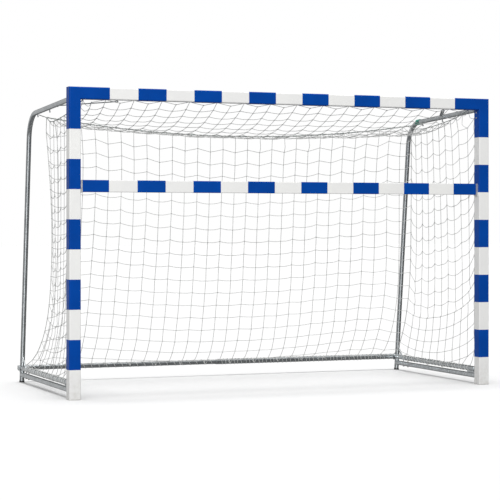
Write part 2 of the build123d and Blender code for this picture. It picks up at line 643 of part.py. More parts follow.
# the rear sheet hangs in a curve: each step is a share of the rope's height and a change of depth
net_profile = [REAR_TOP]
for share, change in NET_HANG:
    net_profile.append((REAR_TOP_Y + change, NET_BOTTOM + share * (REAR_TOP_Z - NET_BOTTOM)))
net_profile.append((NET_END_Y, NET_BOTTOM))


def sheet_across(points, half_width):
    """A thin bent sheet: a line of points in the YZ plane, drawn along X."""
    plane = Plane(origin=(-half_width, 0, 0), x_dir=(0, 1, 0), z_dir=(1, 0, 0))
    second_face = [(y - NET_SHEET, z - NET_SHEET) for y, z in reversed(points)]
    outline = Polyline(*points, *second_face, close=True)
    return extrude(plane * make_face(outline), 2 * half_width)


top_line = [(NET_FRONT, NET_TOP), (REAR_TOP_Y - 10.0, REAR_TOP_Z + 4.0)]
add("net_top", sheet_across(top_line, NET_SIDE_X))
add("net_back", sheet_across(net_profile, NET_SIDE_X - SHEET_INSET))

side_outline = [(NET_FRONT, NET_BOTTOM), (NET_FRONT, NET_TOP - SIDE_INSET_Z)]
side_outline.append((REAR_TOP_Y - SIDE_INSET_Y, REAR_TOP_Z - SIDE_INSET_Z))
side_outline += [(y - SIDE_INSET_Y, z) for y, z in net_profile[1:]]
side_plane = Plane(origin=(NET_SIDE_X, 0, 0), x_dir=(0, 1, 0), z_dir=(1, 0, 0))
side_face = make_face(Polyline(*side_outline, close=True))
add_pair("net_side", extrude(side_plane * side_face, NET_SHEET))

rope_y = REAR_TOP_Y + ROPE_BACK
rope_z = REAR_TOP_Z + ROPE_RISE
rope_left = (-NET_SIDE_X, rope_y, rope_z)
rope_right = (NET_SIDE_X, rope_y, rope_z)
rope_path = ThreePointArc(rope_left, (0, rope_y, rope_z - ROPE_SAG), rope_right)
rope_plane = Plane(origin=rope_left, z_dir=rope_path % 0)
add("net_rear_rope", sweep(rope_plane * Circle(ROPE / 2), path=rope_path))

tie_hook_y = HINGE_Y + ARM_HOOK_PLACES[-1]
tie_end = (BRACKET_X - ROPE, tie_hook_y - ARM_HOOK_LIP + 1.0, arm_z(tie_hook_y) - TUBE / 2 - ROPE)
tie_start = (NET_SIDE_X + ROPE, rope_y, rope_z)
add_pair("net_tie", rod(tie_start, tie_end, TIE / 2))

# ---- Write each node ----
os.makedirs("parts", exist_ok=True)
for name, shape in NODES.items():
    export_step(Pos(0, -CENTRE_Y, 0) * shape, f"parts/{name}.step")
print(len(NODES), "nodes; brace angle", round(brace_angle, 2), "hinge y", round(HINGE_Y - CENTRE_Y, 3),
      "rear tube y", round(REAR_TUBE_Y - CENTRE_Y, 3), "centre", round(CENTRE_Y, 3))
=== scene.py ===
import json
import math

import bpy
import numpy as np
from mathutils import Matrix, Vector


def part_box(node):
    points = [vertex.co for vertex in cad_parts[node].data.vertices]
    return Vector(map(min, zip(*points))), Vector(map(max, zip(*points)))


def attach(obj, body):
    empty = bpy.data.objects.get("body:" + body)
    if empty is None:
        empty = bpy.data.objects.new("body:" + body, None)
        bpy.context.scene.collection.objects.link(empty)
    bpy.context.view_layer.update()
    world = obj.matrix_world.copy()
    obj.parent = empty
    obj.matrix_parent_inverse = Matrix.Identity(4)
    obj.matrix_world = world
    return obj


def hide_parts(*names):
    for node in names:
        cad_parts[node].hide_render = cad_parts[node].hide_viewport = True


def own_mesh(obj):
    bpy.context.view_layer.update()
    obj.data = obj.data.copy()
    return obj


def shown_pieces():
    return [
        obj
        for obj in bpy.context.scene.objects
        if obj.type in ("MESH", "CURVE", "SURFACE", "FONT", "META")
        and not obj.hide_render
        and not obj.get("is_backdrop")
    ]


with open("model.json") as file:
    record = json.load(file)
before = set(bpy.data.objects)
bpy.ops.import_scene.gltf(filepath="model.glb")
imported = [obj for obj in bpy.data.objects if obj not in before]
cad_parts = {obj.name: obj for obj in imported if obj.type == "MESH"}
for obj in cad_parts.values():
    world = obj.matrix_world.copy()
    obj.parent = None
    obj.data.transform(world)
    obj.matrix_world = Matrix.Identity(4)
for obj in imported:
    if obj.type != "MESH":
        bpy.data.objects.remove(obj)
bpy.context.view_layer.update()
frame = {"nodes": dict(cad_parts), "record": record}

record = frame["record"]
nodes = frame["nodes"]

# ---------------------------------------------------------------- places, all from the CAD
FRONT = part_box("left_post")[0].y                 # plane of the posts' front faces
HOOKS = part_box("crossbar_hooks")
POST_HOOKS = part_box("post_hooks")
ROPE_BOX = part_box("net_rear_rope")
TUBE_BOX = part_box("rear_tube_thick")
RAIL_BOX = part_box("right_upper_rail")
SIDE_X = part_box("net_back")[1].x + 0.02          # the net's sides
TUBE_Y = (TUBE_BOX[0].y + TUBE_BOX[1].y) / 2
TUBE_Z = (TUBE_BOX[0].z + TUBE_BOX[1].z) / 2
TUBE_R = (TUBE_BOX[1].z - TUBE_BOX[0].z) / 2
RAIL_X = (RAIL_BOX[0].x + RAIL_BOX[1].x) / 2
RAIL_R = (RAIL_BOX[1].x - RAIL_BOX[0].x) / 2
RAIL_Z = RAIL_BOX[1].z - RAIL_R

TWINE = 0.0019                                   # radius of the net's twine
KNOT = 0.0030                                    # radius of a knot's bights
MESH = 0.1                                       # side of one mesh
ROPE_R = 0.004                                   # radius of the rear rope
SIDE_ROPE_R = 0.0032
TIE_R = 0.003
CORNER_CORD_R = 0.0026
LACING_R = 0.0013
LACING_TURNS = 60
ARM_TILT = 0.0426                                # the arm's fall for each unit of depth
rng = np.random.default_rng(7)


# ---------------------------------------------------------------- materials
def srgb(r, g, b):
    """A colour in 0-255 screen values as a linear RGBA tuple."""
    linear = [((v / 255 + 0.055) / 1.055) ** 2.4 if v > 10 else v / 255 / 12.92 for v in (r, g, b)]
    return (*linear, 1.0)


class Finish:
    """A node material being built around one Principled shader."""

    def __init__(self, name, **sockets):
        self.material = bpy.data.materials.new(name)
        self.material.use_nodes = True
        self.tree = self.material.node_tree
        self.shader = self.tree.nodes["Principled BSDF"]
        for socket, value in sockets.items():
            self.shader.inputs[socket.replace("_", " ")].default_value = value
        self.place = self.add("ShaderNodeTexCoord").outputs["Object"]

    def add(self, kind, **settings):
        node = self.tree.nodes.new(kind)
        for name, value in settings.items():
            setattr(node, name, value)
        return node

    def link(self, source, target):
        self.tree.links.new(source, target)

    def stretched(self, x, y, z):
        """The place, scaled by axis."""
        mapping = self.add("ShaderNodeMapping")
        mapping.inputs["Scale"].default_value = (x, y, z)
        self.link(self.place, mapping.inputs["Vector"])
        return mapping.outputs["Vector"]

    def noise(self, scale, detail=3.0, roughness=0.55, vector=None):
        node = self.add("ShaderNodeTexNoise")
        node.inputs["Scale"].default_value = scale
        node.inputs["Detail"].default_value = detail
        node.inputs["Roughness"].default_value = roughness
        self.link(vector or self.place, node.inputs["Vector"])
        return node.outputs["Fac"]

    def cells(self, scale, output="Distance"):
        node = self.add("ShaderNodeTexVoronoi", feature="F1")
        node.inputs["Scale"].default_value = scale
        self.link(self.place, node.inputs["Vector"])
        return node.outputs[output]

    def spread(self, value, low, high, new_low=0.0, new_high=1.0):
        """A value remapped, clamped, from one range to another."""
        node = self.add("ShaderNodeMapRange", clamp=True)
        for number, limit in zip((1, 2, 3, 4), (low, high, new_low, new_high)):
            node.inputs[number].default_value = limit
        self.link(value, node.inputs[0])
        return node.outputs[0]

    def math(self, operation, first, second):
        node = self.add("ShaderNodeMath", operation=operation)
        for socket, value in zip(node.inputs, (first, second)):
            if isinstance(value, (int, float)):
                socket.default_value = value
            else:
                self.link(value, socket)
        return node.outputs[0]

    def blend_color(self, factor, first, second):
        node = self.add("ShaderNodeMix", data_type="RGBA")
        self.link(factor, node.inputs["Factor"])
        for socket, value in ((node.inputs[6], first), (node.inputs[7], second)):
            if isinstance(value, tuple):
                socket.default_value = value
            else:
                self.link(value, socket)
        return node.outputs[2]

    def color(self, source):
        self.link(source, self.shader.inputs["Base Color"])

    def rough(self, source):
        self.link(source, self.shader.inputs["Roughness"])

    def bump(self, height, strength, distance, under=None):
        node = self.add("ShaderNodeBump")
        node.inputs["Strength"].default_value = strength
        node.inputs["Distance"].default_value = distance
        self.link(height, node.inputs["Height"])
        if under is not None:
            self.link(under, node.inputs["Normal"])
        self.link(node.outputs["Normal"], self.shader.inputs["Normal"])
        return node.outputs["Normal"]

    def height_above_floor(self, low, high):
        """1 at the floor, fading to 0: where grime gathers."""
        split = self.add("ShaderNodeSeparateXYZ")
        self.link(self.place, split.inputs[0])
        return self.spread(split.outputs["Z"], low, high, 1.0, 0.0)

    def edges(self, radius):
        """1 along sharp edges, 0 on flat faces."""
        bevel = self.add("ShaderNodeBevel", samples=4)
        bevel.inputs["Radius"].default_value = radius
        geometry = self.add("ShaderNodeNewGeometry")
        dot = self.add("ShaderNodeVectorMath", operation="DOT_PRODUCT")
        self.link(bevel.outputs["Normal"], dot.inputs[0])
        self.link(geometry.outputs["Normal"], dot.inputs[1])
        return self.spread(dot.outputs["Value"], 0.80, 0.99, 1.0, 0.0)


def coated_profile():
    """White powder coat: orange peel, faint cloudiness, hairline scuffs, dust at the foot."""
    f = Finish("white_powder_coat", IOR=1.5)
    cloud = f.noise(3.0, 4)
    base = f.blend_color(f.spread(cloud, 0.35, 0.65), srgb(238, 238, 237), srgb(243, 243, 241))
    scuff = f.spread(f.noise(55, 5, 0.7, f.stretched(1.0, 1.0, 0.12)), 0.66, 0.74, 0.0, 0.35)
    base = f.blend_color(scuff, base, srgb(214, 213, 210))
    low = f.height_above_floor(0.0, 0.22)
    dust = f.math("MULTIPLY", low, f.spread(f.noise(38, 5), 0.4, 0.75, 0.0, 0.5))
    f.color(f.blend_color(dust, base, srgb(196, 192, 184)))
    f.rough(f.spread(f.noise(20, 4), 0.3, 0.7, 0.34, 0.48))
    peel = f.bump(f.noise(620, 2), 0.10, 0.0006)
    f.bump(f.noise(60, 5, 0.7, f.stretched(1.0, 1.0, 0.12)), 0.05, 0.0004, peel)
    f.shader.inputs["Coat Weight"].default_value = 0.12
    f.shader.inputs["Coat Roughness"].default_value = 0.2
    return f.material


def band_film():
    """Blue self-adhesive film: slight gloss, tiny trapped bubbles, soft ripples, rubbed edges."""
    f = Finish("blue_band_film", IOR=1.48)
    tone = f.blend_color(f.spread(f.noise(4.0, 4), 0.35, 0.65), srgb(0, 64, 150), srgb(0, 70, 162))
    rub = f.math("MULTIPLY", f.edges(0.0022), f.spread(f.noise(130, 5), 0.45, 0.7, 0.0, 0.35))
    tone = f.blend_color(rub, tone, srgb(58, 100, 176))
    f.color(tone)
    f.rough(f.spread(f.noise(26, 4), 0.3, 0.7, 0.30, 0.42))
    bubbles = f.spread(f.cells(140), 0.0, 0.10, 1.0, 0.0)
    ripple = f.bump(f.noise(16, 2), 0.10, 0.002)
    grain = f.bump(f.noise(900, 2), 0.05, 0.0004, ripple)
    f.bump(bubbles, 0.06, 0.0004, grain)
    f.shader.inputs["Specular IOR Level"].default_value = 0.08
    return f.material


def moulded(name, dark, light, low=0.45, high=0.65, worn=None):
    """Moulded plastic: spark-eroded grain, flow marks and paler edges."""
    f = Finish(name, IOR=1.46)
    tone = f.blend_color(f.spread(f.noise(30, 5), 0.35, 0.65), dark, light)
    if worn:
        tone = f.blend_color(f.math("MULTIPLY", f.edges(0.0015), 0.5), tone, worn)
    f.color(tone)
    f.rough(f.spread(f.noise(90, 4), 0.3, 0.7, low, high))
    f.bump(f.cells(1100), 0.18, 0.0003, f.bump(f.noise(70, 3), 0.08, 0.0006))
    return f.material


def cast_metal():
    """Die-cast aluminium: sandy skin, darker pits."""
    f = Finish("cast_aluminium_skin", Metallic=0.9)
    pits = f.spread(f.cells(420), 0.0, 0.35, 1.0, 0.0)
    tone = f.blend_color(f.spread(f.noise(45, 5), 0.35, 0.65), srgb(196, 197, 198), srgb(222, 222, 222))
    f.color(f.blend_color(f.math("MULTIPLY", pits, 0.25), tone, srgb(150, 150, 150)))
    f.rough(f.spread(f.noise(150, 4), 0.3, 0.7, 0.38, 0.58))
    f.bump(f.noise(800, 4), 0.25, 0.0004, f.bump(pits, -0.1, 0.0004))
    return f.material


def zinc_plate():
    """Bright zinc plating: turning marks, a faint blue-yellow cast."""
    f = Finish("zinc_plated_steel", Metallic=1.0)
    f.color(f.blend_color(f.spread(f.noise(60, 3), 0.4, 0.6), srgb(188, 190, 196), srgb(206, 204, 194)))
    turned = f.noise(1500, 2, 0.5, f.stretched(1.0, 1.0, 3.0))
    f.rough(f.spread(turned, 0.3, 0.7, 0.22, 0.42))
    f.bump(turned, 0.10, 0.0003)
    return f.material


def galvanised():
    """Hot-dip galvanised tube: spangle, dull bloom, runs and a few grey specks."""
    f = Finish("galvanised_steel", Metallic=0.95)
    grey = f.spread(f.cells(95, "Color"), 0.0, 1.0)
    tone = f.blend_color(grey, srgb(172, 177, 180), srgb(206, 210, 212))
    bloom = f.spread(f.noise(9, 5, 0.65), 0.42, 0.66, 0.0, 0.55)
    tone = f.blend_color(bloom, tone, srgb(156, 160, 162))
    speck = f.spread(f.noise(210, 3), 0.70, 0.76, 0.0, 0.5)
    f.color(f.blend_color(speck, tone, srgb(96, 98, 98)))
    base_rough = f.spread(grey, 0.0, 1.0, 0.17, 0.23)
    f.rough(f.math("ADD", base_rough, f.math("MULTIPLY", bloom, 0.12)))
    runs = f.bump(f.noise(14, 3, 0.5, f.stretched(1.0, 1.0, 0.3)), 0.05, 0.001)
    f.bump(f.noise(420, 3), 0.03, 0.0002, runs)
    return f.material


def twisted(name, dark, light, fleck, lay, plies, rough, fleck_share=0.62):
    """Twine or rope: plies that wind round it, with painted shade darkening the grooves between them
    and lighter crests, fibres along them, a soft sheen.
    """
    f = Finish(name, IOR=1.45, Roughness=rough)
    strand = f.add("ShaderNodeAttribute", attribute_name="strand")
    split = f.add("ShaderNodeSeparateXYZ")
    f.link(strand.outputs["Vector"], split.inputs[0])
    around = f.math("ARCTAN2", split.outputs["Y"], split.outputs["X"])
    turns = f.math("MULTIPLY", around, plies)
    wound = f.math("ADD", turns, f.math("MULTIPLY", split.outputs["Z"], lay))
    ply = f.math("SINE", wound, 0.0)
    fibre = f.noise(1400, 3)
    # painted shade and highlight: the grooves between the plies take the dark colour, the crests the
    # light one
    tone = f.blend_color(f.spread(ply, -1.0, 0.4), dark, light)
    tone = f.blend_color(f.spread(f.noise(11, 4), 0.4, 0.7, 0.0, 0.25), tone, dark)
    tone = f.blend_color(f.spread(f.noise(160, 3), fleck_share, fleck_share + 0.06), tone, fleck)
    f.color(tone)
    f.bump(ply, 0.5, 0.0006, f.bump(fibre, 0.3, 0.0004))
    f.shader.inputs["Sheen Weight"].default_value = 0.25
    f.shader.inputs["Sheen Roughness"].default_value = 0.5
    return f.material


FINISHES = {
    "white_profile": coated_profile(),
    "blue_film": band_film(),
    "foot_plastic": moulded("foot_plastic_grey", srgb(176, 176, 173), srgb(196, 196, 192)),
    "black_plastic": moulded("black_plastic_grain", srgb(26, 26, 27), srgb(44, 44, 45),
                             0.4, 0.6, srgb(92, 92, 92)),
    "hook_plastic": moulded("hook_plastic_white", srgb(212, 212, 208), srgb(226, 226, 222),
                            0.35, 0.5),
    "cast_aluminium": cast_metal(),
    "zinc_fastener": zinc_plate(),
    "galvanised_tube": galvanised(),
    # the net's twine is white; its colours here are painted grey to stand in for the shade it hangs in
    "net_twine": twisted("net_twine_white_painted_shade", srgb(178, 179, 178), srgb(212, 213, 211),
                         srgb(200, 200, 197), 900.0, 2.0, 0.8),
    "net_rope": twisted("net_rope_grey", srgb(112, 118, 117), srgb(158, 162, 160),
                        srgb(74, 128, 116), 500.0, 2.0, 0.85, 0.58),
}
green_cord = twisted("tie_cord_green", srgb(38, 110, 96), srgb(78, 150, 132),
                     srgb(120, 176, 160), 700.0, 2.0, 0.8)

for row in record["subparts"]:
    node = nodes[row["node"]]
    node.data.materials.clear()
    node.data.materials.append(FINISHES[row["material_slot"]])


# ---------------------------------------------------------------- mesh helpers
def mesh_piece(name, points, faces, strand, material, slot, body="frame"):
    """A smooth mesh with the strand attribute that the twine finishes read, riding on a body."""
    mesh = bpy.data.meshes.new(name)
    mesh.vertices.add(len(points))
    mesh.vertices.foreach_set("co", np.asarray(points, np.float32).ravel())
    mesh.loops.add(faces.size)
    mesh.polygons.add(len(faces))
    mesh.polygons.foreach_set("loop_start", np.arange(0, faces.size, faces.shape[1], dtype=np.int32))
    mesh.loops.foreach_set("vertex_index", faces.astype(np.int32).ravel())
    mesh.update(calc_edges=True)
    mesh.validate()
    mesh.polygons.foreach_set("use_smooth", np.ones(len(mesh.polygons), bool))
    attribute = mesh.attributes.new("strand", "FLOAT_VECTOR", "POINT")
    attribute.data.foreach_set("vector", np.asarray(strand, np.float32).ravel())
    mesh.materials.append(material)
    piece = bpy.data.objects.new(name, mesh)
    bpy.context.scene.collection.objects.link(piece)
    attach(piece, body)
    return piece


def tubes(lines, radius, sides):
    """Open round tubes along many lines at once. lines is (line, point, xyz)."""
    lines = np.asarray(lines, float)
    count, steps, _ = lines.shape
    along = np.gradient(lines, axis=1)
    along /= np.linalg.norm(along, axis=2, keepdims=True) + 1e-12
    mean = np.abs(lines[:, -1] - lines[:, 0])
    aside = np.zeros((count, 1, 3))
    aside[np.arange(count), 0, np.argmin(mean, axis=1)] = 1.0
    first = np.cross(along, aside)
    first /= np.linalg.norm(first, axis=2, keepdims=True) + 1e-12
    second = np.cross(along, first)
    angle = np.arange(sides) * 2 * math.pi / sides
    ring = first[:, :, None] * np.cos(angle)[:, None] + second[:, :, None] * np.sin(angle)[:, None]
    width = np.broadcast_to(np.asarray(radius, float), (count, steps))[:, :, None, None]
    points = lines[:, :, None] + ring * width
    length = np.linalg.norm(np.diff(lines, axis=1), axis=2).cumsum(axis=1)
    length = np.concatenate([np.zeros((count, 1)), length], axis=1)
    strand = np.zeros((count, steps, sides, 3))
    strand[..., 0] = np.cos(angle)
    strand[..., 1] = np.sin(angle)
    strand[..., 2] = length[:, :, None] + rng.random((count, 1, 1)) * 0.01
    index = np.arange(count * steps * sides).reshape(count, steps, sides)
    turned = np.roll(index, -1, axis=2)
    faces = np.stack([index[:, :-1], turned[:, :-1], turned[:, 1:], index[:, 1:]], axis=-1)
    return points.reshape(-1, 3), faces.reshape(-1, 4), strand.reshape(-1, 3)


def joined(parts):
    """Several (points, faces, strand) sets as one."""
    start, points, faces, strand = 0, [], [], []
    for p, f, s in parts:
        points.append(p)
        faces.append(f + start)
        strand.append(s)
        start += len(p)
    return np.concatenate(points), np.concatenate(faces), np.concatenate(strand)


def smooth_lines(lines, samples):
    """Catmull-Rom curves through each line's points."""
    lines = np.asarray(lines, float)
    before = 2 * lines[:, :1] - lines[:, 1:2]
    after = 2 * lines[:, -1:] - lines[:, -2:-1]
    padded = np.concatenate([before, lines, after], axis=1)
    spans = lines.shape[1] - 1
    at = np.linspace(0, spans, samples)
    span = np.minimum(at.astype(int), spans - 1)
    t = (at - span)[None, :, None]
    a, b, c, d = (padded[:, span + k] for k in range(4))
    square = 2 * a - 5 * b + 4 * c - d
    cube = 3 * b - a - 3 * c + d
    return 0.5 * (2 * b + (c - a) * t + square * t**2 + cube * t**3)


def knots(places, size):
    """A small lumpy knot at each place: two crossed bights of twine."""
    turns, ring = 9, 5
    angle = np.linspace(0, 2 * math.pi, turns, endpoint=False)
    loops = []
    for tilt in (0, 1):
        flat = np.zeros((turns, 3))
        flat[:, 0] = np.cos(angle) * size
        flat[:, 2 - tilt] = np.sin(angle) * size * 0.8
        flat[:, 1 + tilt] = np.sin(2 * angle) * size * 0.35
        loops.append(flat)
    points, faces, strand, start = [], [], [], 0
    for loop in loops:
        along = np.roll(loop, -1, axis=0) - np.roll(loop, 1, axis=0)
        along /= np.linalg.norm(along, axis=1, keepdims=True)
        out = loop / (np.linalg.norm(loop, axis=1, keepdims=True) + 1e-9)
        up = np.cross(along, out)
        up /= np.linalg.norm(up, axis=1, keepdims=True)
        out = np.cross(up, along)
        round_angle = np.arange(ring) * 2 * math.pi / ring
        body = loop[:, None] + (out[:, None] * np.cos(round_angle)[:, None]
                                + up[:, None] * np.sin(round_angle)[:, None]) * TWINE * 1.15
        index = np.arange(turns * ring).reshape(turns, ring) + start
        over, side = np.roll(index, -1, axis=0), np.roll(index, -1, axis=1)
        both = np.roll(over, -1, axis=1)
        faces.append(np.stack([index, over, both, side], axis=-1).reshape(-1, 4))
        points.append(body.reshape(-1, 3))
        marks = np.zeros((turns, ring, 3))
        marks[..., 0], marks[..., 1] = np.cos(round_angle), np.sin(round_angle)
        marks[..., 2] = (angle * size)[:, None]
        strand.append(marks.reshape(-1, 3))
        start += turns * ring
    points, faces, strand = np.concatenate(points), np.concatenate(faces), np.concatenate(strand)
    count = len(places)
    spin = rng.random(count) * 2 * math.pi
    c, s = np.cos(spin), np.sin(spin)
    turned = np.stack([points[None, :, 0] * c[:, None] - points[None, :, 1] * s[:, None],
                       points[None, :, 0] * s[:, None] + points[None, :, 1] * c[:, None],
                       np.broadcast_to(points[None, :, 2], (count, len(points)))], axis=-1)
    all_points = (turned + np.asarray(places)[:, None]).reshape(-1, 3)
    all_faces = (faces[None] + (np.arange(count) * len(points))[:, None, None]).reshape(-1, 4)
    return all_points, all_faces, np.tile(strand, (count, 1))


def laid_rope(path, radius, pitch=0.03, plies=3, sides=6):
    """A laid rope: plies wound round a smooth path."""
    path = np.asarray(path, float)
    gap = np.linalg.norm(np.diff(path, axis=0), axis=1)
    run = np.concatenate([[0], gap.cumsum()])
    steps = max(8, int(run[-1] / (pitch / 7)))
    at = np.linspace(0, run[-1], steps)
    middle = np.stack([np.interp(at, run, path[:, k]) for k in range(3)], axis=1)
    along = np.gradient(middle, axis=0)
    along /= np.linalg.norm(along, axis=1, keepdims=True)
    aside = np.zeros(3)
    aside[np.argmin(np.abs(path[-1] - path[0]))] = 1.0
    first = np.cross(along, aside)
    first /= np.linalg.norm(first, axis=1, keepdims=True)
    second = np.cross(along, first)
    lines = []
    for ply in range(plies):
        turn = 2 * math.pi * (at / pitch + ply / plies)
        aside = first * np.cos(turn)[:, None] + second * np.sin(turn)[:, None]
        lines.append(middle + aside * radius * 0.5)
    return tubes(lines, radius * 0.56, sides)


def helix(start, end, radius, pitch, wire, wobble):
    """Twine wound round a straight tube from start to end."""
    start, end = np.asarray(start, float), np.asarray(end, float)
    length = np.linalg.norm(end - start)
    along = (end - start) / length
    aside = np.zeros(3)
    aside[np.argmin(np.abs(along))] = 1.0
    first = np.cross(along, aside)
    first /= np.linalg.norm(first)
    second = np.cross(along, first)
    steps = int(length / pitch * 14) + 2
    at = np.linspace(0, length, steps)
    turn = 2 * math.pi * at / pitch
    drift = wobble * np.sin(at * 23.0) + wobble * np.sin(at * 61.0 + 1.0)
    line = start + along * (at + drift)[:, None]
    aside = first * np.cos(turn)[:, None] + second * np.sin(turn)[:, None]
    line = line + aside * (radius + wire * 0.9)
    return tubes([line], wire, 6)


# ---------------------------------------------------------------- the net, hung by simulation
COLUMNS = 15             # columns each side of the middle
TOP_ROWS = 10            # rows from the crossbar to the rear rope
BACK_ROWS = 19           # rows from the rear rope to the rear tube
TOP_PITCH = 0.0958
BACK_PITCH = 0.0962
STAGGER = 0.030          # alternate columns hang this much lower

CORNER_Z = ROPE_BOX[1].z - 0.006

# the net's rear edges: out past the side, depth behind the posts' faces, height
corner_line = np.array([(0.010, 1.026, CORNER_Z), (-0.020, 0.972, 1.30),
                        (-0.022, 0.985, 0.80), (-0.012, 1.075, 0.45),
                        (0.016, 1.245, 0.22), (0.050, 1.405, TUBE_Z + TUBE_R + 0.004)])
# the net's upper side edges: depth, height
side_rope = np.array([(0.094, HOOKS[0].z + 0.002), (0.27, 1.958), (0.48, 1.930),
                      (0.70, 1.908), (0.90, 1.897), (1.026, CORNER_Z)])


def even_points(line, count):
    """Points spaced evenly along a bent line, softened at its corners."""
    fine = smooth_lines(line[None], 200)[0]
    run = np.concatenate([[0], np.linalg.norm(np.diff(fine, axis=0), axis=1).cumsum()])
    at = np.linspace(0, run[-1], count)
    return np.stack([np.interp(at, run, fine[:, k]) for k in range(fine.shape[1])], axis=1)


corner_points = even_points(corner_line, BACK_ROWS + 1)
side_tops = even_points(side_rope, TOP_ROWS + 1)
column_x = np.arange(-COLUMNS, COLUMNS + 1) * MESH
column_x[0], column_x[-1] = -SIDE_X, SIDE_X
columns = len(column_x)
low_column = (np.arange(columns) % 2).astype(float)


def rope_height(x):
    """Height of the rear rope over its width."""
    top, sag = ROPE_BOX[1].z - ROPE_R, ROPE_BOX[1].z - ROPE_BOX[0].z - 2 * ROPE_R
    return top - sag * (1 - (x / SIDE_X) ** 2)


ROPE_Y = (ROPE_BOX[0].y + ROPE_BOX[1].y) / 2
particles, held, links, rests = [], [], [], []


def particle(place, fixed):
    particles.append(place)
    held.append(fixed)
    return len(particles) - 1


main = np.zeros((columns, TOP_ROWS + BACK_ROWS + 1), int)
for i, x in enumerate(column_x):
    edge = i in (0, columns - 1)
    side = -1 if i == 0 else 1
    front = np.array([x, FRONT + 0.094, HOOKS[0].z + 0.003 - STAGGER * 0.7 * low_column[i]])
    rope = np.array([x, ROPE_Y, rope_height(x)])
    foot = np.array([x, TUBE_Y - TUBE_R * 0.55, TUBE_Z + TUBE_R * 0.84])
    for r in range(TOP_ROWS + BACK_ROWS + 1):
        if edge and r <= TOP_ROWS:
            place = np.array([side * SIDE_X, FRONT + side_tops[r][0], side_tops[r][1]])
        elif edge:
            out, y, z = corner_points[r - TOP_ROWS]
            place = np.array([side * (SIDE_X + out), FRONT + y, z])
        elif r <= TOP_ROWS:
            t = r / TOP_ROWS
            place = front * (1 - t) + rope * t
            place[2] -= 0.2 * t * (1 - t)
        else:
            t = (r - TOP_ROWS) / BACK_ROWS
            place = rope * (1 - t) + foot * t
            place[1] -= 0.6 * t * (1 - t)
        fixed = edge or r in (0, TOP_ROWS, TOP_ROWS + BACK_ROWS)
        main[i, r] = particle(place, fixed)

sides = {}
for side in (-1, 1):
    grid = np.zeros((TOP_ROWS + 1, BACK_ROWS + 1), int)
    edge = 0 if side < 0 else columns - 1
    for k in range(TOP_ROWS + 1):
        grid[k, 0] = main[edge, k]
    for m in range(1, BACK_ROWS + 1):
        grid[TOP_ROWS, m] = main[edge, TOP_ROWS + m]
        back = np.array(particles[grid[TOP_ROWS, m]])
        height = HOOKS[0].z + 0.04 - MESH * m if m < BACK_ROWS else RAIL_Z + RAIL_R + 0.003
        post = np.array([side * (POST_HOOKS[1].x - 0.010), FRONT + 0.096, height])
        for k in range(TOP_ROWS):
            t = k / TOP_ROWS
            place = post * (1 - t) + back * t
            if m == BACK_ROWS:
                rail_y = FRONT + 0.20 + 1.19 * t
                place = np.array([side * (RAIL_X - 0.006), rail_y, RAIL_Z + RAIL_R + 0.003])
            grid[k, m] = particle(place, k == 0 or m == BACK_ROWS)
    sides[side] = grid

NET_PARTS = {"net_top_twine": "net_top", "net_back_twine": "net_back",
             "left_net_side_twine": "left_net_side", "right_net_side_twine": "right_net_side"}
strands = {name: [] for name in NET_PARTS}


def tie(group, a, b, rest):
    """One strand between two knots, as three links."""
    rest *= 1 + (rng.random() - 0.5) * 0.03
    start, end = np.array(particles[a]), np.array(particles[b])
    chain = [a]
    for t in (1 / 3, 2 / 3):
        chain.append(particle(start + (end - start) * t + (rng.random(3) - 0.5) * 0.006, False))
    chain.append(b)
    for one, two in zip(chain, chain[1:]):
        links.append((one, two))
        rests.append(rest / 3)
    strands[group].append(chain)


for i in range(columns):
    for r in range(TOP_ROWS + BACK_ROWS):
        if i in (0, columns - 1) and r < TOP_ROWS:
            continue
        if r < TOP_ROWS:
            tie("net_top_twine", main[i, r], main[i, r + 1], TOP_PITCH)
        else:
            rest = BACK_PITCH
            if r == TOP_ROWS:
                rest += STAGGER * low_column[i]
            if r == TOP_ROWS + BACK_ROWS - 1:
                rest -= STAGGER * low_column[i]
            tie("net_back_twine", main[i, r], main[i, r + 1], rest)
for r in range(TOP_ROWS + BACK_ROWS + 1):
    if r == TOP_ROWS:
        continue
    for i in range(columns - 1):
        tie("net_top_twine" if r < TOP_ROWS else "net_back_twine", main[i, r], main[i + 1, r], MESH)
for side, grid in sides.items():
    group = "left_net_side_twine" if side < 0 else "right_net_side_twine"
    for m in range(1, BACK_ROWS + 1):
        for k in range(TOP_ROWS):
            width = np.linalg.norm(np.array(particles[grid[k + 1, m]]) - particles[grid[k, m]])
            tie(group, grid[k, m], grid[k + 1, m], max(MESH, width * 1.01))
    for k in range(TOP_ROWS):
        for m in range(BACK_ROWS):
            height = np.linalg.norm(np.array(particles[grid[k, m + 1]]) - particles[grid[k, m]])
            rest = max(BACK_PITCH, height * 1.01)
            if m == 0:
                rest += STAGGER * (k % 2)
            if m == BACK_ROWS - 1:
                rest -= STAGGER * (k % 2)
            tie(group, grid[k, m], grid[k, m + 1], rest)


